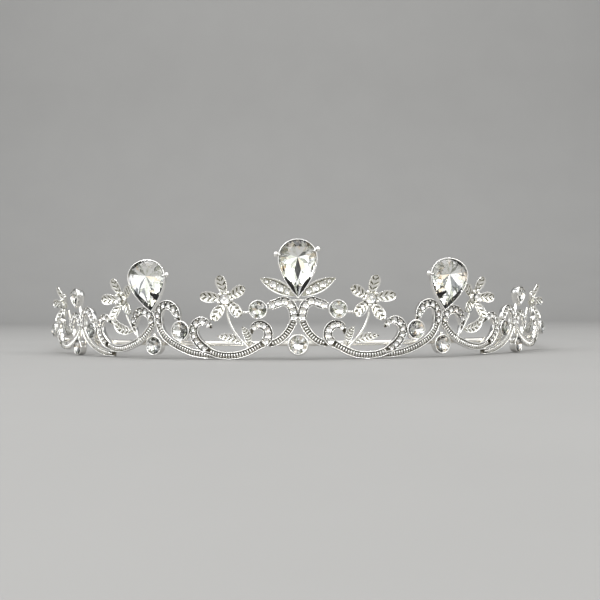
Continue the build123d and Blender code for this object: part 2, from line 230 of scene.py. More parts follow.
class Line:
    """A smooth curve through points, walked at even steps: its places, its side directions and its length."""

    def __init__(self, points, step=0.22):
        points = np.asarray(points, float)
        chord = np.concatenate([[0], np.cumsum(np.linalg.norm(np.diff(points, axis=0), axis=1))])
        bends = self.bends(chord, points)
        fine = np.linspace(0, chord[-1], 60 * len(points))
        cell = np.clip(np.searchsorted(chord, fine, side="right") - 1, 0, len(points) - 2)
        width = chord[cell + 1] - chord[cell]
        after = ((fine - chord[cell]) / width)[:, None]
        before = 1 - after
        sag = ((before ** 3 - before) * bends[cell] + (after ** 3 - after) * bends[cell + 1])
        dense = before * points[cell] + after * points[cell + 1] + sag * (width ** 2)[:, None] / 6
        walked = np.concatenate([[0], np.cumsum(np.linalg.norm(np.diff(dense, axis=0), axis=1))])
        self.length = walked[-1]
        self.dense, self.walked = dense, walked
        self.count = max(6, int(self.length / step))
        self.share = np.linspace(0, 1, self.count)
        self.places, self.sides = self.at(self.share)

    @staticmethod
    def bends(chord, points):
        """The second derivatives that make a natural cubic through the points."""
        size = len(points)
        rows, right = np.eye(size), np.zeros_like(points)
        for i in range(1, size - 1):
            before, after = chord[i] - chord[i - 1], chord[i + 1] - chord[i]
            rows[i, i - 1:i + 2] = before / 6, (before + after) / 3, after / 6
            right[i] = (points[i + 1] - points[i]) / after - (points[i] - points[i - 1]) / before
        return np.linalg.solve(rows, right)

    def at(self, share):
        """Places and side directions at shares of the curve's length."""
        distance = np.asarray(share, float) * self.length
        nudge = 0.02
        here, back, ahead = (
            np.stack([np.interp(distance + d, self.walked, self.dense[:, k]) for k in (0, 1)], axis=-1)
            for d in (0, -nudge, nudge))
        along = ahead - back
        along /= np.linalg.norm(along, axis=-1, keepdims=True)
        return here, np.stack([-along[..., 1], along[..., 0]], axis=-1)


def smooth_step(low, high, value):
    share = np.clip((np.asarray(value, float) - low) / (high - low), 0, 1)
    return share * share * (3 - 2 * share)


def tapered(share, start, finish, reach=0.12):
    """Widths along a strip, narrowed smoothly to the given shares at its two ends."""
    near = np.minimum(1, share / reach)
    far = np.minimum(1, (1 - share) / reach)
    first = start + (1 - start) * np.sin(near * math.pi / 2)
    return first * (finish + (1 - finish) * np.sin(far * math.pi / 2))


# ---- Meshes in the making ----


class Form:
    """A mesh in the making: its points, the painted shade of each, and its faces with their finishes."""

    def __init__(self):
        self.points, self.wear, self.faces, self.finishes, self.smooths = [], [], [], [], []
        self.painted_reflections = {}
        self.count = 0

    def add(self, points, faces, wear=1.0, finish=0, smooth=True):
        points = np.asarray(points, float).reshape(-1, 3)
        self.points.append(points)
        self.wear.append(np.broadcast_to(np.asarray(wear, float).reshape(-1), len(points)))
        self.faces.extend([tuple(i + self.count for i in face) for face in faces])
        self.finishes.extend(np.broadcast_to(finish, len(faces)).tolist())
        self.smooths.extend([smooth] * len(faces))
        self.count += len(points)

    def add_rings(self, rings, wear=1.0, looped=False, finish=0):
        """Skins rings of points, rows of the same count, and closes both ends unless the path is looped."""
        count, size = rings.shape[:2]
        faces = []
        for i in range(count if looped else count - 1):
            after = (i + 1) % count
            for j in range(size):
                k = (j + 1) % size
                faces.append((i * size + j, i * size + k, after * size + k, after * size + j))
        if not looped:
            faces.append(tuple(reversed(range(size))))
            faces.append(tuple((count - 1) * size + j for j in range(size)))
        self.add(rings, faces, wear, finish)


def unit_ball(around, up):
    """A unit ball's points and faces."""
    points = [(0.0, 0.0, -1.0)]
    for i in range(1, up):
        tilt = math.pi * i / up - math.pi / 2
        for j in range(around):
            turn = 2 * math.pi * j / around
            points.append((math.cos(tilt) * math.cos(turn), math.cos(tilt) * math.sin(turn), math.sin(tilt)))
    points.append((0.0, 0.0, 1.0))
    last = len(points) - 1
    faces = [(0, 1 + (j + 1) % around, 1 + j) for j in range(around)]
    for i in range(up - 2):
        row = 1 + i * around
        for j in range(around):
            k = (j + 1) % around
            faces.append((row + j, row + k, row + around + k, row + around + j))
    top = last - around
    faces += [(top + j, top + (j + 1) % around, last) for j in range(around)]
    return np.array(points), faces


SMALL_BALL = unit_ball(10, 6)
LARGE_BALL = unit_ball(20, 12)


def add_bead(
        form, arc, height, depth, radius, side=(0.0, 1.0), across=None, out=None, ball=SMALL_BALL,
        square=1.0):
    """A bead of metal, with painted shade that darkens it round its edge.

    It is a ball, or an oval that is across long along its side direction and out deep. A square below
    1 makes it a bar with rounded edges.
    """
    points, faces = ball
    points = np.sign(points) * np.abs(points) ** square
    across = radius if across is None else across
    out = radius if out is None else out
    along = np.array([side[1], -side[0]])
    flat = points[:, :1] * radius * along + points[:, 1:2] * across * np.asarray(side)
    places = np.column_stack([arc + flat[:, 0], height + flat[:, 1], depth + points[:, 2] * out])
    form.add(bend(places), faces, 0.15 + 0.85 * smooth_step(-0.3, 0.7, np.abs(points[:, 2])))


def rings_along(line, across, depths):
    """Rings of arc, height and depth along a line, from how far across it and how deep each point is."""
    rings = np.zeros((*across.shape, 3))
    rings[..., 0] = line.places[:, :1] + line.sides[:, :1] * across
    rings[..., 1] = line.places[:, 1:] + line.sides[:, 1:] * across
    rings[..., 2] = depths
    return rings


def add_wire(form, line, radius, depth, around=12):
    """A round wire along a line, with a radius that may change along it."""
    radius = np.broadcast_to(radius, line.count)[:, None]
    turns = np.linspace(0, 2 * math.pi, around, endpoint=False)
    form.add_rings(bend(rings_along(line, radius * np.cos(turns), depth + radius * np.sin(turns))))


# ---- Materials ----


def new_material(name):
    material = bpy.data.materials.new(name)
    material.use_nodes = True
    return material, material.node_tree.nodes, material.node_tree.links


def add_noise(nodes, links, coordinates, size, detail=3.0):
    """A noise whose features are about this many millimetres across."""
    noise = nodes.new("ShaderNodeTexNoise")
    noise.inputs["Scale"].default_value = 1 / (size * MM)
    noise.inputs["Detail"].default_value = detail
    links.new(coordinates.outputs["Object"], noise.inputs["Vector"])
    return noise


def add_range(nodes, links, value, low, high, from_low=0.3, from_high=0.7):
    part = nodes.new("ShaderNodeMapRange")
    part.inputs["From Min"].default_value = from_low
    part.inputs["From Max"].default_value = from_high
    part.inputs["To Min"].default_value = low
    part.inputs["To Max"].default_value = high
    links.new(value, part.inputs["Value"])
    return part.outputs["Result"]


def add_sum(nodes, links, first, second, operation="ADD"):
    part = nodes.new("ShaderNodeMath")
    part.operation = operation
    links.new(first, part.inputs[0])
    links.new(second, part.inputs[1])
    return part.outputs["Value"]


def add_ramp(nodes, links, value, stops):
    ramp = nodes.new("ShaderNodeValToRGB")
    elements = ramp.color_ramp.elements
    while len(elements) < len(stops):
        elements.new(0.5)
    for element, (position, colour) in zip(elements, stops):
        element.position = position
        element.color = (*colour, 1.0)
    links.new(value, ramp.inputs["Fac"])
    return ramp.outputs["Color"]


def silver(name, stops, rough, pit_size=0.16, pit_depth=0.012):
    """Plated metal with painted shade, dark in its crevices and bright on its raised parts, also rougher in
    its crevices, with a finely pitted skin.
    """
    material, nodes, links = new_material(name)
    shader = nodes["Principled BSDF"]
    shader.inputs["Metallic"].default_value = 1.0
    coordinates = nodes.new("ShaderNodeTexCoord")
    wear = nodes.new("ShaderNodeAttribute")
    wear.attribute_name = "wear"
    stain = add_noise(nodes, links, coordinates, 1.6)
    # the painted shade, with stains of random tone added
    shade_and_stain = add_sum(
        nodes, links, wear.outputs["Fac"], add_range(nodes, links, stain.outputs["Fac"], -0.16, 0.10))
    links.new(add_ramp(nodes, links, shade_and_stain, stops), shader.inputs["Base Color"])
    smears = add_noise(nodes, links, coordinates, 0.7)
    smeared = add_range(nodes, links, smears.outputs["Fac"], rough[0], rough[1])
    dull = add_range(nodes, links, wear.outputs["Fac"], 0.22, 0.0, 0.0, 0.8)
    links.new(add_sum(nodes, links, smeared, dull), shader.inputs["Roughness"])
    pits = add_noise(nodes, links, coordinates, pit_size, 2.0)
    bump = nodes.new("ShaderNodeBump")
    bump.inputs["Strength"].default_value = 0.6
    bump.inputs["Distance"].default_value = pit_depth * MM
    links.new(pits.outputs["Fac"], bump.inputs["Height"])
    links.new(bump.outputs["Normal"], shader.inputs["Normal"])
    return material


def crystal_glass(name, tint):
    """Clear cut glass with faint cloudy streaks of colour."""
    material, nodes, links = new_material(name)
    shader = nodes["Principled BSDF"]
    shader.inputs["Roughness"].default_value = 0.0
    shader.inputs["IOR"].default_value = 1.58
    shader.inputs["Transmission Weight"].default_value = 1.0
    coordinates = nodes.new("ShaderNodeTexCoord")
    streaks = add_noise(nodes, links, coordinates, 1.1)
    links.new(
        add_ramp(nodes, links, streaks.outputs["Fac"], [(0.35, tint), (0.65, (1.0, 1.0, 1.0))]),
        shader.inputs["Base Color"])
    return material


def foil(name, stops, rough):
    """The mirror foil behind a crystal, with a painted reflection on each facet, from dark to bright."""
    material, nodes, links = new_material(name)
    shader = nodes["Principled BSDF"]
    shader.inputs["Metallic"].default_value = 1.0
    coordinates = nodes.new("ShaderNodeTexCoord")
    painted_reflection = nodes.new("ShaderNodeAttribute")
    painted_reflection.attribute_name = "painted_reflection"
    clouds = add_noise(nodes, links, coordinates, 0.8)
    reflection_and_clouds = add_sum(
        nodes, links, painted_reflection.outputs["Fac"], add_range(nodes, links, clouds.outputs["Fac"], -0.06, 0.06))
    links.new(add_ramp(nodes, links, reflection_and_clouds, stops), shader.inputs["Base Color"])
    links.new(
        add_range(nodes, links, clouds.outputs["Fac"], rough[0], rough[1]), shader.inputs["Roughness"])
    return material


# The metal ramps run from painted shade at 0 to bright plated metal at 1.
CAST_SILVER = silver(
    "cast_silver", [(0.0, (0.10, 0.09, 0.07)), (0.30, (0.42, 0.41, 0.36)), (0.75, (0.96, 0.95, 0.92))],
    (0.10, 0.24))
LEAF_SILVER = silver(
    "leaf_silver", [(0.0, (0.07, 0.065, 0.04)), (0.35, (0.42, 0.41, 0.33)), (0.80, (0.97, 0.96, 0.92))],
    (0.08, 0.22))
BAND_SILVER = silver(
    "band_silver", [(0.0, (0.30, 0.26, 0.20)), (0.5, (0.72, 0.68, 0.60)), (1.0, (0.92, 0.90, 0.85))],
    (0.10, 0.20), 0.3, 0.006)
# Ramps of painted reflections for the foils, from dark facets through olive to bright and creamy ones
FOIL_REFLECTION_STOPS = [
    (0.00, (0.10, 0.10, 0.09)), (0.12, (0.45, 0.45, 0.42)), (0.24, (0.78, 0.80, 0.68)),
    (0.38, (0.97, 0.97, 0.96)), (0.85, (0.99, 0.99, 0.99)), (0.96, (0.95, 0.84, 0.70))]
BOLD_REFLECTION_STOPS = [
    (0.00, (0.012, 0.012, 0.011)), (0.14, (0.16, 0.16, 0.15)), (0.28, (0.62, 0.64, 0.54)),
    (0.45, (0.97, 0.97, 0.96)), (0.85, (0.99, 0.99, 0.99)), (0.96, (0.95, 0.82, 0.66))]
CRYSTAL = crystal_glass("crystal_glass", (0.97, 0.975, 0.95))
CRYSTAL_FOIL = foil("crystal_foil", BOLD_REFLECTION_STOPS, (0.01, 0.05))
PAVE = crystal_glass("pave_glass", (0.98, 0.97, 0.97))
PAVE_FOIL = foil("pave_foil", FOIL_REFLECTION_STOPS, (0.02, 0.08))

METALS = {"silver": [CAST_SILVER], "leaf_silver": [LEAF_SILVER], "band_silver": [BAND_SILVER]}
CRYSTALS = {"crystal": [CRYSTAL, CRYSTAL_FOIL], "pave_crystal": [PAVE, PAVE_FOIL]}


def make_piece(form, name, node, slot, flipped=False):
    """Turns a form into the visible piece that stands for a CAD node."""
    points = np.vstack(form.points) * MM
    if flipped:
        points = points * (-1, 1, 1)
    mesh = bpy.data.meshes.new(name)
    mesh.from_pydata(points.tolist(), [], form.faces)
    for material in {**METALS, **CRYSTALS}[slot]:
        mesh.materials.append(material)
    mesh.polygons.foreach_set("material_index", form.finishes)
    mesh.polygons.foreach_set("use_smooth", form.smooths)
    skin = bmesh.new()
    skin.from_mesh(mesh)
    bmesh.ops.recalc_face_normals(skin, faces=skin.faces)
    skin.to_mesh(mesh)
    skin.free()
    if slot in METALS:
        # the painted shade of each point, which darkens the metal's colour
        wear = mesh.attributes.new("wear", "FLOAT", "POINT")
        wear.data.foreach_set("value", np.concatenate(form.wear).astype(np.float32))
    else:
        # each crystal facet gets a painted reflection, dark or bright at random unless it is given
        painted_reflection = mesh.attributes.new("painted_reflection", "FLOAT", "FACE")
        values = rng.uniform(0.12, 1.0, len(mesh.polygons)).astype(np.float32)
        for face, value in form.painted_reflections.items():
            values[face] = value
        painted_reflection.data.foreach_set("value", values)
    piece = bpy.data.objects.new(name, mesh)
    bpy.context.scene.collection.objects.link(piece)
    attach(piece, "root")
    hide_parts(node)
    return piece


def make_pair(form, node, slot, ending):
    """The right piece and its mirror image on the left."""
    make_piece(form, f"right_{node}_{ending}", f"right_{node}", slot)
    make_piece(form, f"left_{node}_{ending}", f"left_{node}", slot, flipped=True)


# ---- Crystals ----


def add_brilliant(form, station, outline, heart, crown, pavilion, table=0.56, girdle=0.08, mains=8, painted_reflections=()):
    """A faceted crystal on its girdle plane.

    outline gives the girdle's points by angle, and heart is the point that the facets run to. Round
    that point the crown has its table, its stars, its kites and two small facets to each kite. The
    foiled pavilion has its mains, each with two small facets beyond it, and pairs of halves between
    them. The painted reflections given for the mains, dark or bright, go to them in order, for a
    crystal whose pattern isn't left to chance.
    """
    heart = np.asarray(heart, float)
    around = 2 * mains
    angles = np.linspace(0, 2 * math.pi, 721)
    dense = np.array([outline(angle) for angle in angles])
    bearings = np.unwrap(np.arctan2(dense[:, 0] - heart[0], heart[1] - dense[:, 1]))
    wanted = bearings[0] + 2 * math.pi * np.arange(around) / around
    edge = np.array([outline(angle) for angle in np.interp(wanted, bearings, angles)])
    slack = math.cos(math.pi / mains)
    star, half, split = 0.80, 0.42, 0.60

    def ring(indices, share, height):
        flat = heart + share * (edge[indices] - heart)
        return np.column_stack([flat, np.full(len(indices), height)])

    every, even, odd = range(around), range(0, around, 2), range(1, around, 2)
    # the crown slopes evenly, so where the outline runs in slantwise its stars stand lower
    reach = edge[1::2] - heart
    nearest = np.array([np.min(np.hypot(*(dense - place).T)) for place in heart + star * reach])
    evenness = nearest / ((1 - star) * np.hypot(*reach.T))
    star_height = girdle + (crown - girdle) * (1 - star * slack) / (1 - table) * evenness
    half_height = -girdle - (pavilion - girdle) * (1 - half * slack)
    split_height = -girdle - (pavilion - girdle) * (1 - split)
    points = np.vstack([
        ring(even, table, crown), ring(odd, star, star_height), ring(every, 1, girdle),
        ring(every, 1, -girdle), ring(odd, half, half_height), ring(even, split, split_height),
        [[*heart, -pavilion]]])
    tables, stars, upper = 0, mains, around
    lower = upper + around
    halves = lower + around
    splits = halves + mains
    culet = splits + mains
    faces = [tuple(range(mains))]
    for k in range(mains):
        after, before = (k + 1) % mains, (k - 1) % mains
        a, b, c = 2 * k, 2 * k + 1, (2 * k + 2) % around
        faces.append((tables + k, stars + k, tables + after))
        faces.append((tables + k, stars + before, upper + a, stars + k))
        faces.append((stars + k, upper + a, upper + b))
        faces.append((stars + k, upper + b, upper + c))
    glass = len(faces)
    for k in range(mains):
        before = (k - 1) % mains
        a, b, c = 2 * k, 2 * k + 1, (2 * k + 2) % around
        faces.append((upper + a, lower + a, lower + b, upper + b))
        faces.append((upper + b, lower + b, lower + c, upper + c))
        faces.append((halves + k, lower + b, lower + a))
        faces.append((halves + k, lower + c, lower + b))
        if k < len(painted_reflections):
            form.painted_reflections[len(form.faces) + len(faces)] = painted_reflections[k]
        faces.append((culet, halves + before, splits + k, halves + k))
        faces.append((halves + before, lower + a, splits + k))
        faces.append((splits + k, lower + a, halves + k))
    finish = [0] * glass + [1] * (len(faces) - glass)
    form.add(station.place(points), faces, 1.0, finish, smooth=False)


def add_round_crystal(form, station, radius, crown=0.40, pavilion=0.34, turn=0.0):
    def outline(angle):
        return radius * math.cos(angle + turn), radius * math.sin(angle + turn)
    add_brilliant(form, station, outline, (0, 0), crown * radius, pavilion * radius, table=0.58)


def add_small_crystal(form, station, radius):
    """A small crystal with a shallow foiled back, turned at random."""
    add_round_crystal(form, station, radius, 0.46, 0.26, rng.random())


def pear_outline(width, length, offset=0.0):
    """A pear's outline from its point, widened all round by an offset."""
    widest = 0.7698
    width = width + 2 * offset
    length = length + 2.6 * offset

    def outline(angle):
        across = width / 2 / widest * math.sin(angle) * math.sin(angle / 2)
        return across, length / 2 * (1 - math.cos(angle)) - 1.6 * offset
    return outline


# ---- Settings ----

# Cup profiles: radius share, depth, and painted shade, dark inside the cup and bright on the rim
ROUND_CUP_PROFILE = [
    (0.0, 0.06, 0.5), (0.5, 0.02, 0.6), (0.80, 0.0, 0.7), (0.93, 0.10, 0.8), (0.97, 0.35, 0.7),
    (0.98, 1.30, 0.8), (1.0, 1.75, 0.9), (1.0, 1.92, 1.0), (0.965, 2.02, 1.0), (0.91, 2.03, 1.0),
    (0.865, 1.96, 0.7), (0.85, 1.84, 0.2), (0.83, 1.55, 0.1), (0.12, 0.2, 0.1), (0.0, 0.2, 0.1)]
BEZEL_PROFILE = [
    (0.0, 0.06, 0.5), (0.5, 0.02, 0.6), (0.82, 0.0, 0.7), (0.96, 0.15, 0.8), (1.0, 0.5, 0.8),
    (1.0, 1.60, 0.9), (0.99, 1.95, 1.0), (0.94, 2.16, 1.0), (0.87, 2.22, 1.0), (0.81, 2.14, 1.0),
    (0.79, 1.96, 0.4), (0.785, 1.80, 0.1), (0.77, 1.5, 0.1), (0.12, 0.2, 0.1), (0.0, 0.2, 0.1)]


def add_round_cup(form, arc, height, radius, profile, around=40):
    """A closed cup with a rolled rim, turned from a profile of radius share, depth and painted shade."""
    station = Station(arc, height, 0.0)
    turns = np.linspace(0, 2 * math.pi, around, endpoint=False)
    rings = np.array([
        [(share * radius * math.cos(t), share * radius * math.sin(t), depth) for t in turns]
        for share, depth, _ in profile[1:-1]])
    wear = np.repeat([wear for _, _, wear in profile[1:-1]], around)
    form.add_rings(station.place(rings), wear)


# A pear cup's profile: offset, depth, and painted shade, darker at the back and bright on the rim
PEAR_CUP_PROFILE = [
    (-0.80, 0.02, 0.6), (-0.25, 0.0, 0.7), (0.05, 0.3, 0.8), (0.22, 0.9, 0.8), (0.28, 1.6, 0.8),
    (0.33, 2.15, 0.9), (0.32, 2.38, 1.0), (0.25, 2.47, 1.0), (0.14, 2.49, 1.0), (0.05, 2.44, 0.9),
    (0.02, 2.32, 0.8), (0.0, 2.1, 0.8), (-0.5, 0.3, 0.7)]


def add_pear_cup(form, station, width, length, prongs, around=72):
    """The closed cup of a pear crystal with a rolled rim and ball-tipped prongs at angles in degrees."""
    rings = []
    turns = [2 * math.pi * (k + 0.5) / around for k in range(around)]
    for offset, depth, _ in PEAR_CUP_PROFILE:
        outline = pear_outline(width, length, offset)
        rings.append([(*outline(turn), depth - PEAR_GIRDLE) for turn in turns])
    wear = np.repeat([wear for _, _, wear in PEAR_CUP_PROFILE], around)
    form.add_rings(station.place(np.array(rings)), wear)
    middle = np.array([0.0, length - width / 2, 0.05])
    points, faces = LARGE_BALL
    for angle in prongs:
        turn = math.radians(angle)
        out = np.array([math.cos(turn), math.sin(turn), 0.0])
        reach = width / 2 + PRONG_REACH
        form.add(station.place(middle + out * reach + points * PRONG_BALL), faces, 1.0)
        neck = points * PRONG_NECK + np.outer(points @ out, out) * 2 * PRONG_NECK
        # the prong's neck has a little painted shade
        form.add(station.place(middle + out * (reach - PRONG_NECK_SETBACK) + neck), faces, 0.7)


# ---- Scrolls ----

# Half of a scroll's cross-section, from the middle of its back round to the middle of its floor:
# share of the half width, depth, painted shade, dark on the floor and walls and bright on the
# rails. The two have the same points, and one turns into the other.
RIBBED_SECTION = np.array([
    (0.0, 0.03, 0.5), (0.66, 0.0, 0.6), (0.90, 0.10, 0.7), (1.0, 0.32, 0.8), (1.0, 0.98, 0.9),
    (0.97, 1.20, 1.0), (0.88, 1.30, 1.0), (0.76, 1.28, 1.0), (0.68, 1.14, 0.8), (0.65, 0.90, 0.3),
    (0.58, 0.68, 0.1), (0.0, 0.66, 0.05)])
SET_SECTION = np.array([
    (0.0, 0.03, 0.5), (0.76, 0.0, 0.6), (1.08, 0.10, 0.7), (1.22, 0.32, 0.8), (1.25, 1.05, 0.9),
    (1.245, 1.34, 1.0), (1.17, 1.45, 1.0), (1.05, 1.44, 1.0), (0.97, 1.32, 0.8), (0.94, 1.10, 0.4),
    (0.88, 0.92, 0.1), (0.0, 0.88, 0.05)])


def set_share(share, rows):
    """How far each part of a scroll is set with crystals instead of ribbed, from 0 to 1."""
    fade = 0.025
    total = np.zeros_like(share)
    for first, last, _, _ in rows:
        inside = smooth_step(first - 2 * fade, first, share) * smooth_step(last + 2 * fade, last, share)
        total = np.maximum(total, inside)
    return total


def row_stones(line, first, last, start_radius, end_radius, gap=0.05):
    """The shares and radii of crystals that fill a stretch of a scroll, growing or shrinking evenly."""
    stretch = (last - first) * line.length
    count = max(2, round(stretch / (start_radius + end_radius + gap)) + 1)
    radii = np.linspace(start_radius, end_radius, count)
    steps = radii[:-1] + radii[1:] + gap
    distances = np.concatenate([[0], np.cumsum(steps)])
    distances *= stretch / distances[-1]
    shrink = min(1.0, stretch / (np.sum(steps) - gap * len(steps)))
    return first + distances / line.length, radii * shrink


def add_scroll(form, points, rows, scale=1.0, start=0.3, finish=0.3):
    """A cast scroll: two rails with a row of small ribs or set crystals between them."""
    line = Line(points)
    width = SCROLL_HALF_WIDTH * scale * tapered(line.share, start, finish)
    thin = tapered(line.share, 0.7, 0.7, 0.05)
    blend = set_share(line.share, rows)[:, None, None]
    half = RIBBED_SECTION * (1 - blend) + SET_SECTION * blend
    section = np.concatenate([half, half[:, -2:0:-1] * (-1, 1, 1)], axis=1)
    rings = rings_along(line, section[..., 0] * width[:, None], section[..., 1] * thin[:, None])
    rings[..., 0] = np.maximum(rings[..., 0], 0)
    # the section's last column gives the painted shade
    form.add_rings(bend(rings), section[..., 2])
    add_ribs(form, line, rows, scale)
    return line


def add_ribs(form, line, rows, scale):
    """Small rounded bars across the floor of a scroll wherever it isn't set with crystals."""
    count = int(line.length / (RIB_PITCH * scale))
    shares = (np.arange(count) + 0.5) / count
    places, sides = line.at(shares)
    widths = tapered(shares, 0.3, 0.3)
    for share, place, side, width in zip(shares, places, sides, widths):
        if set_share(np.array([share]), rows)[0] > 0.3 or width < 0.6:
            continue
        half = RIB_REACH * SCROLL_HALF_WIDTH * scale * width
        add_bead(form, *place, RIB_DEPTH, RIB_HALF_WIDTH * scale, side, half, RIB_OUT, square=0.7)


def add_claws(form, line, shares, radii):
    """Pairs of small beads that hold a row's crystals, in every gap and at both ends."""
    step = (shares[1] - shares[0]) / 2
    gaps = np.concatenate([[shares[0] - step], (shares[:-1] + shares[1:]) / 2, [shares[-1] + step]])
    near = np.concatenate([radii[:1], (radii[:-1] + radii[1:]) / 2, radii[-1:]])
    places, sides = line.at(np.clip(gaps, 0.004, 0.996))
    for place, side, radius in zip(places, sides, near):
        for way in (-1, 1):
            arc, height = place + side * way * radius * CLAW_OFFSET
            add_bead(form, arc, height, CLAW_DEPTH, CLAW_SIZE * radius)


def set_rows(metal, stones, line, rows, clear_of=()):
    """Fills a scroll's set stretches with crystals and their claws, leaving out any under a pear's cup."""
    for first, last, start_radius, end_radius in rows:
        shares, radii = row_stones(line, first, last, start_radius, end_radius)
        add_claws(metal, line, shares, radii)
        places, _ = line.at(shares)
        for (arc, height), radius in zip(places, radii):
            if any(covers(arc, height) for covers in clear_of):
                continue
            add_small_crystal(stones, Station(arc, height, STONE_SEAT), radius)


# ---- Petals and leaves ----

ACROSS = np.array([0.0, 0.07, 0.14, 0.24, 0.36, 0.48, 0.6, 0.7, 0.78, 0.85, 0.91, 0.96, 1.0])
ACROSS = np.concatenate([-ACROSS[:0:-1], ACROSS])


def petal_profile(share):
    """A narrow foot that widens to a rounded tip."""
    foot = 0.34 + 0.66 * smooth_step(-0.05, 0.62, share)
    tip = np.sqrt(np.clip(1 - np.clip((share - 0.66) / 0.345, 0, 1) ** 2, 0, 1))
    return foot * tip


def lens_profile(share):
    """Convex sides that meet in a point at both ends."""
    return 0.04 + 0.96 * (1 - (2 * share - 1) ** 2) ** 0.95


def add_blade(
        form, points, width, profile, depth, lift=0.0, cup=0.2, ribs=5.0, relief=0.16, thickness=0.42,
        vein=0.9, shade=0.02):
    """A petal or leaf along a line, with a raised rim and vein and slanting ribs between them.

    shade is how light the painted shade in its grooves is, from 0 to 1.
    """
    line = Line(points, 0.12)
    u, v = line.share[:, None], ACROSS[None, :]
    half = width / 2 * np.clip(profile(line.share), 0.02, None)[:, None]
    away = np.abs(v)
    rim = smooth_step(0.66, 0.80, away)
    ridge = vein * np.exp(-(v / 0.09) ** 2)
    inside = (1 - rim) * smooth_step(0.02, 0.12, u) * smooth_step(1.0, 0.9, u)
    wave = 0.5 + 0.5 * np.cos(2 * math.pi * (ribs * u - 0.85 * away)) if ribs else 0 * u * away
    relief_map = np.maximum(np.maximum(rim, ridge), 0.85 * smooth_step(0.02, 0.55, wave) * inside)
    body = depth + lift * u ** 1.5 + cup * v ** 2 * half
    front = body + relief * relief_map
    back = body - thickness * (0.55 + 0.45 * (1 - v ** 2))
    top = rings_along(line, half * v, front)
    under = rings_along(line, half * v, back)[:, ::-1]
    # painted shade: dark in the grooves, bright on the rim, vein and ribs, and a little on the back
    wear = np.concatenate([np.broadcast_to(relief_map, front.shape), np.full(front.shape, 0.7)], axis=1)
    form.add_rings(bend(np.concatenate([top, under], axis=1)), shade + (1 - shade) * wear)


# A flower of size 1: how far out each petal starts, bends and ends, its width, depth and rise, the boss
# in the middle, the ring of beads on the boss, and the crystal
PETALS = 5
PETAL_REACHES = (0.45, 3.0, 5.75)
PETAL_WIDTH = 2.75
PETAL_DEPTH = 1.15
PETAL_LIFT = 1.7
BOSS_RADIUS = 1.6
BOSS_DEPTH = 1.1
BOSS_OUT = 0.85
BOSS_BEAD = 0.50
BOSS_BEAD_REACH = 1.72
BOSS_BEAD_DEPTH = 1.75
FLOWER_STONE = 1.3
FLOWER_STONE_DEPTH = 2.1


def add_flower(metal, stones, arc, height, size, turn):
    """Five petals round a crystal with a ring of beads."""
    middle = np.array([arc, height])

    def way(index):
        angle = math.radians(turn + 360 / PETALS * index)
        return np.array([math.cos(angle), math.sin(angle)])

    for index in range(PETALS):
        points = [middle + way(index) * size * reach for reach in PETAL_REACHES]
        add_blade(
            metal, points, PETAL_WIDTH * size, petal_profile, PETAL_DEPTH, lift=PETAL_LIFT * size, cup=0.4,
            ribs=4.6)
    add_bead(metal, arc, height, BOSS_DEPTH, BOSS_RADIUS * size, out=BOSS_OUT, ball=LARGE_BALL)
    for index in range(PETALS):
        place = middle + way(index + 0.5) * size * BOSS_BEAD_REACH
        add_bead(metal, *place, BOSS_BEAD_DEPTH, BOSS_BEAD * size)
    station = Station(arc, height, FLOWER_STONE_DEPTH)
    add_round_crystal(stones, station, FLOWER_STONE * size, 0.40, 0.2, 0.3)


# ---- The right half, piece by piece ----

round_stones, pave_stones, flower_stones = Form(), Form(), Form()


def build_cups():
    for name in ("front", "side", "far", "end", "side_drop", "far_drop"):
        arc, height, radius = round_setting(f"right_{name}_cup")
        cup = Form()
        add_round_cup(cup, arc, height, radius, ROUND_CUP_PROFILE)
        if name.endswith("drop"):
            add_bead(cup, arc, height + radius + 0.25, 1.25, 0.48, out=0.5)
        if name == "front":
            add_wire(cup, Line(CUP_LINK), 0.3, 1.0)
            add_bead(cup, *CUP_LINK[1], 1.1, 0.45)
        make_pair(cup, f"{name}_cup", "silver", "rim")
        station = Station(arc, height, GIRDLE_DEPTH)
        add_round_crystal(round_stones, station, radius - CUP_WALL, turn=rng.random())
    make_pair(round_stones, "round_crystals", "crystal", "cut")

    arc, height, radius = round_setting("centre_drop_cup")
    cup, stone = Form(), Form()
    add_round_cup(cup, arc, height, radius, BEZEL_PROFILE)
    make_piece(cup, "centre_drop_bezel", "centre_drop_cup", "silver")
    add_round_crystal(stone, Station(arc, height, GIRDLE_DEPTH), radius * 0.79, turn=0.2)
    make_piece(stone, "centre_drop_cut", "centre_drop_crystal", "crystal")


# Lean outwards and turn back to the front, both in degrees, prong angles, and the painted
# reflections of the pavilion's twelve mains, dark or bright, round from the point
PEARS = {
    "centre": (0.0, 0.0, (25, 168), (0.02, 0.97, 0.22, 0.6, 0.15, 0.5, 0.7, 0.4, 0.55, 0.3, 0.5, 0.26)),
    "side": (8.5, 15.0, (177,), (0.36, 0.5, 0.7, 0.4, 0.6, 0.2, 0.5, 0.35, 0.6, 0.4, 0.97, 0.34)),
    "far": (10.0, 0.0, (), (0.5,))}
PEAR_FULL_WIDTH = 8.9
pear_covers = {}


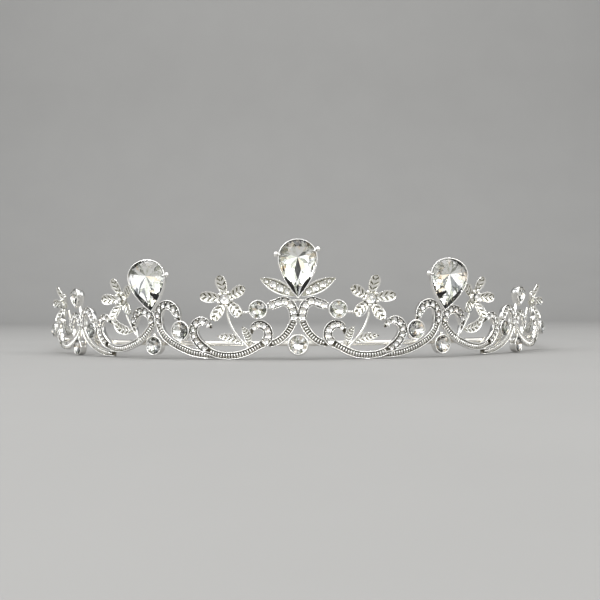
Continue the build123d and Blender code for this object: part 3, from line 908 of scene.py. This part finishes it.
def build_pears():
    for name, (lean, facing, prongs, painted_reflections) in PEARS.items():
        prefix = "" if name == "centre" else "right_"
        station, width, length = pear_setting(f"{prefix}{name}_pear_crystal", lean, facing)
        cup, stone = Form(), Form()
        add_pear_cup(cup, station, width, length, prongs)
        outline = pear_outline(width, length, -0.02)
        relief = min(1.0, width / PEAR_FULL_WIDTH)
        add_brilliant(
            stone, station, outline, (0, length * 0.70), 1.55 * relief, 1.05 * relief,
            table=0.62, mains=12, painted_reflections=painted_reflections)
        pear_covers[name] = pear_cover(station, width, length)
        if name == "far":
            neck = Line(FAR_NECK)
            add_wire(cup, neck, 0.46 * tapered(neck.share, 0.8, 0.7), 0.9)
        if name == "centre":
            make_piece(cup, "centre_pear_rim", "centre_pear_cup", "silver")
            make_piece(stone, "centre_pear_cut", "centre_pear_crystal", "crystal")
        else:
            make_pair(cup, f"{name}_pear_cup", "silver", "rim")
            make_pair(stone, f"{name}_pear_crystal", "crystal", "cut")


def pear_cover(station, width, length):
    """A test of whether a place on the tiara lies under a pear's cup."""
    ring = np.array([pear_outline(width, length, 0.75)(2 * math.pi * k / 40) for k in range(40)])

    def covers(arc, height):
        x, y, _ = station.axes @ (bend([arc, height, PEAR_GIRDLE]) - station.origin)
        inside = False
        for (x0, y0), (x1, y1) in zip(ring, np.roll(ring, -1, axis=0)):
            if (y0 > y) != (y1 > y) and x < (x1 - x0) * (y - y0) / (y1 - y0) + x0:
                inside = not inside
        return inside
    return covers


def add_solder(form, line):
    """A low mound of solder wherever a scroll crosses the headband."""
    inside = np.abs(line.places[:, 1] - BAND_MID_Z) < BAND_HEIGHT * 0.45
    for start in np.flatnonzero(inside[1:] & ~inside[:-1]):
        run = inside[start + 1:]
        stop = start + 1 + (np.argmin(run) if not run.all() else len(run))
        arc, height = line.places[start + 1:stop].mean(axis=0)
        add_bead(form, arc, height, -0.15, 1.25, out=0.42, across=0.8, ball=LARGE_BALL)


def build_scrolls():
    covers = list(pear_covers.values())
    front = Form()
    line = add_scroll(front, FRONT_SCROLL, FRONT_ROWS)
    set_rows(front, pave_stones, line, FRONT_ROWS, covers)
    add_solder(front, line)
    make_pair(front, "front_scroll", "silver", "cast")

    heart = Form()
    line = add_scroll(heart, HEART, HEART_ROWS, start=0.95, finish=0.8)
    set_rows(heart, pave_stones, line, HEART_ROWS, covers)
    add_solder(heart, line)
    make_pair(heart, "heart_scroll", "silver", "cast")

    for name, (arc, scale) in MOTIFS.items():
        rows = [(a, b, c * scale, d * scale) for a, b, c, d in HOOK_ROWS]
        hook = Form()
        line = add_scroll(hook, scaled_motif(HOOK_SCROLL, arc, scale), rows, scale, 0.35, 0.8)
        set_rows(hook, pave_stones, line, rows, covers)
        add_solder(hook, line)
        make_pair(hook, f"{name}_hook_scroll", "silver", "cast")

        rows = [(a, b, c * scale, d * scale) for a, b, c, d in LOOPED_ROWS]
        looped = Form()
        line = add_scroll(looped, scaled_motif(LOOPED_SCROLL, arc, scale), rows, scale)
        set_rows(looped, pave_stones, line, rows, covers)
        add_solder(looped, line)
        tie = Line(scaled_motif(LOOP_TIE, arc, scale))
        add_wire(looped, tie, 0.34 * scale, 0.7)
        make_pair(looped, f"{name}_looped_scroll", "silver", "cast")


def build_flowers():
    stalks = {"front": (FRONT_STALK, FRONT_LEAVES)}
    for name, motif in MOTIFS.items():
        side_leaf = (scaled_motif(SIDE_LEAF, *motif), SIDE_LEAF_WIDTH)
        stalks[name] = (scaled_motif(SIDE_STALK, *motif), [side_leaf])
    for name, place in FLOWERS.items():
        flower, stem = Form(), Form()
        add_flower(flower, flower_stones, *place)
        make_pair(flower, f"{name}_flower", "leaf_silver", "petals")
        points, leaves = stalks[name]
        line = Line(points)
        add_wire(stem, line, STALK_RADIUS * tapered(line.share, 0.9, 0.9), STALK_DEPTH)
        for leaf_points, width in leaves:
            add_blade(stem, leaf_points, width, lens_profile, 0.75, lift=0.3, cup=0.1, ribs=7.0, relief=0.14)
        make_pair(stem, f"{name}_stem", "leaf_silver", "wire")
    make_pair(flower_stones, "flower_crystals", "pave_crystal", "cut")


def build_centre():
    leaf = Form()
    # the centre leaf's grooves get only light painted shade
    add_blade(
        leaf, CENTRE_LEAF, CENTRE_LEAF_WIDTH, lens_profile, 1.0, cup=0.05, ribs=0.0, relief=0.36, vein=0.0,
        shade=0.45)
    line = Line(CENTRE_LEAF)
    shares, radii = np.array(LEAF_STONES).T
    for share, radius in LEAF_STONES:
        (arc, height), _ = line.at(share)
        add_small_crystal(pave_stones, Station(arc, height, STONE_SEAT), radius)
    add_claws(leaf, line, shares, radii)
    make_pair(leaf, "centre_leaf", "leaf_silver", "blade")
    bridge = Form()
    add_wire(bridge, Line(BRIDGE), 0.36, 0.65)
    add_bead(bridge, 0, 10.1, 1.0, 0.36)
    make_piece(bridge, "centre_bridge_wire", "centre_bridge", "silver")
    make_pair(pave_stones, "pave_crystals", "pave_crystal", "cut")


# ---- The headband ----


def rounded_section(height, depth, corner, per_corner=4):
    """A rectangle with rounded corners: height and depth from its middle."""
    points = []
    for quarter, (x, y) in enumerate(((1, 1), (-1, 1), (-1, -1), (1, -1))):
        for k in range(per_corner):
            turn = math.pi / 2 * (quarter + k / (per_corner - 1))
            points.append((
                x * (height / 2 - corner) + corner * math.cos(turn),
                y * (depth / 2 - corner) + corner * math.sin(turn)))
    return np.array(points)


def build_headband():
    band = Form()
    section = rounded_section(BAND_HEIGHT, BAND_DEPTH, 0.34)
    arcs = np.radians(np.linspace(-BAND_HALF_ANGLE, BAND_HALF_ANGLE, 181)) * RADIUS
    rings = np.array([
        [(arc, BAND_MID_Z + high, -BAND_DEPTH / 2 + deep) for high, deep in section] for arc in arcs])
    band.add_rings(bend(rings), 0.9)
    middle = EYE_BORE + EYE_WALL / 2
    eye_arc = math.radians(BAND_HALF_ANGLE) * RADIUS + middle
    section = rounded_section(EYE_WALL, EYE_DEPTH, 0.32)
    for way in (-1, 1):
        station = Station(way * eye_arc, BAND_MID_Z, -BAND_DEPTH / 2)
        turns = np.linspace(0, 2 * math.pi, 40, endpoint=False)
        rings = np.array([
            [((middle + wide) * math.cos(t), (middle + wide) * math.sin(t), deep) for wide, deep in section]
            for t in turns])
        band.add_rings(station.place(rings), 0.9, looped=True)
        add_bead(
            band, way * (eye_arc - middle - 0.25), BAND_MID_Z, -BAND_DEPTH / 2, 1.0,
            across=0.72, out=0.66, ball=LARGE_BALL)
    make_piece(band, "headband_wire", "headband", "band_silver")


build_cups()
build_pears()
build_scrolls()
build_flowers()
build_centre()
build_headband()

# ---- Floor, light and camera ----


def plain_paint(name, colour):
    """A matt pale surface with the faintest unevenness."""
    material, nodes, links = new_material(name)
    shader = nodes["Principled BSDF"]
    shader.inputs["Roughness"].default_value = 0.85
    coordinates = nodes.new("ShaderNodeTexCoord")
    mottle = add_noise(nodes, links, coordinates, 40.0)
    stops = [(0.3, tuple(0.97 * c for c in colour)), (0.7, colour)]
    links.new(add_ramp(nodes, links, mottle.outputs["Fac"], stops), shader.inputs["Base Color"])
    return material


FLOOR_FRONT = -900
FLOOR_BACK = 450
SWEEP_RADIUS = 250
SWEEP_STEPS = 12
BACKDROP_TOP = 1500
STAGE_HALF_WIDTH = 1500
STAGE_COLOUR = (0.36, 0.355, 0.345)


def build_stage():
    """A floor that curves up into a backdrop far behind the tiara."""
    low = cad_low.z / MM
    profile = [(FLOOR_FRONT, low), (FLOOR_BACK, low)]
    for k in range(1, SWEEP_STEPS + 1):
        turn = math.radians(90 * k / SWEEP_STEPS)
        profile.append((
            FLOOR_BACK + SWEEP_RADIUS * math.sin(turn), low + SWEEP_RADIUS * (1 - math.cos(turn))))
    profile.append((FLOOR_BACK + SWEEP_RADIUS, BACKDROP_TOP))
    sides = (-STAGE_HALF_WIDTH, STAGE_HALF_WIDTH)
    points = [(x * MM, y * MM, z * MM) for y, z in profile for x in sides]
    faces = [(2 * i, 2 * i + 1, 2 * i + 3, 2 * i + 2) for i in range(len(profile) - 1)]
    mesh = bpy.data.meshes.new("stage_sweep")
    mesh.from_pydata(points, [], faces)
    mesh.polygons.foreach_set("use_smooth", [True] * len(faces))
    mesh.materials.append(plain_paint("pale_paint", STAGE_COLOUR))
    sweep = bpy.data.objects.new("stage_sweep", mesh)
    bpy.context.scene.collection.objects.link(sweep)


def add_softbox(name, place, aim, size, watts, colour):
    lamp = bpy.data.lights.new(name, "AREA")
    lamp.shape = "RECTANGLE"
    lamp.size, lamp.size_y = size[0] * MM, size[1] * MM
    lamp.energy = watts
    lamp.color = colour
    box = bpy.data.objects.new(name, lamp)
    box.location = Vector(place) * MM
    way = (Vector(aim) - Vector(place)).normalized()
    box.rotation_euler = way.to_track_quat("-Z", "Y").to_euler()
    bpy.context.scene.collection.objects.link(box)


# Tall panels round the front: the turn from the front middle in degrees, and the width
PANELS = [(-88, 380), (-61, 380), (-32, 420), (-2, 380), (29, 420), (58, 380), (86, 380)]
PANEL_DISTANCE = 1000
PANEL_HEIGHT = 330
PANEL_LENGTH = 700
PANEL_AIM = (0, -60, 60)
PANEL_WATTS_PER_WIDTH = 0.9 / 400

# Softboxes: name, place, the point they face, size, watts and colour
TIARA_MIDDLE = (0, -20, 15)
WHITE = (1, 1, 1)
SOFTBOXES = [
    ("left_softbox", (-430, -320, 430), TIARA_MIDDLE, (320, 420), 1.6, WHITE),
    ("right_softbox", (470, -280, 380), TIARA_MIDDLE, (260, 420), 1.1, (1.0, 0.97, 0.93)),
    ("top_softbox", (0, 60, 620), TIARA_MIDDLE, (700, 240), 1.4, WHITE),
    ("high_front_softbox", (0, -620, 900), TIARA_MIDDLE, (1300, 420), 2.2, WHITE),
    ("backdrop_wash", (0, 200, 800), (0, 700, 200), (900, 300), 1.6, WHITE)]

# Small lamps for points of light in the facets
SPARKLES = [(-160, -480, 260), (90, -520, 330), (260, -430, 150), (-300, -380, 120)]
SPARKLE_SIZE = 34
SPARKLE_WATTS = 0.11


def build_lights():
    world = bpy.data.worlds.new("studio")
    world.use_nodes = True
    background = world.node_tree.nodes["Background"]
    background.inputs["Color"].default_value = (0.9, 0.95, 1.0, 1)
    background.inputs["Strength"].default_value = 0.30
    bpy.context.scene.world = world
    for index, (turn, wide) in enumerate(PANELS):
        swing = math.radians(turn)
        place = (PANEL_DISTANCE * math.sin(swing), -PANEL_DISTANCE * math.cos(swing), PANEL_HEIGHT)
        watts = PANEL_WATTS_PER_WIDTH * wide
        add_softbox(f"front_panel_{index}", place, PANEL_AIM, (wide, PANEL_LENGTH), watts, WHITE)
    for softbox in SOFTBOXES:
        add_softbox(*softbox)
    for index, place in enumerate(SPARKLES):
        size = (SPARKLE_SIZE, SPARKLE_SIZE)
        add_softbox(f"sparkle_{index}", place, TIARA_MIDDLE, size, SPARKLE_WATTS, WHITE)


# The camera's distance from the front, height and lens, and its turns in degrees
CAMERA_DISTANCE = 215.0
CAMERA_HEIGHT = 12.6
CAMERA_LENS = 53.5
CAMERA_YAW = -0.13
CAMERA_PITCH = 90.45
CAMERA_ROLL = -0.35


def build_camera():
    """A level camera a little above the floor, close in front of the middle crystal."""
    data = bpy.data.cameras.new("camera")
    data.lens = CAMERA_LENS
    data.sensor_width = 36
    data.clip_start, data.clip_end = 0.01, 20
    camera = bpy.data.objects.new("camera", data)
    bpy.context.scene.collection.objects.link(camera)
    camera.location = Vector((0, CENTRE_Y - RADIUS - CAMERA_DISTANCE, CAMERA_HEIGHT)) * MM
    yaw = Matrix.Rotation(math.radians(CAMERA_YAW), 4, "Z")
    pitch = Matrix.Rotation(math.radians(CAMERA_PITCH), 4, "X")
    roll = Matrix.Rotation(math.radians(CAMERA_ROLL), 4, "Z")
    camera.rotation_euler = (yaw @ pitch @ roll).to_euler()
    bpy.context.scene.camera = camera


build_stage()
build_lights()
build_camera()
bpy.context.scene.view_settings.view_transform = "Standard"
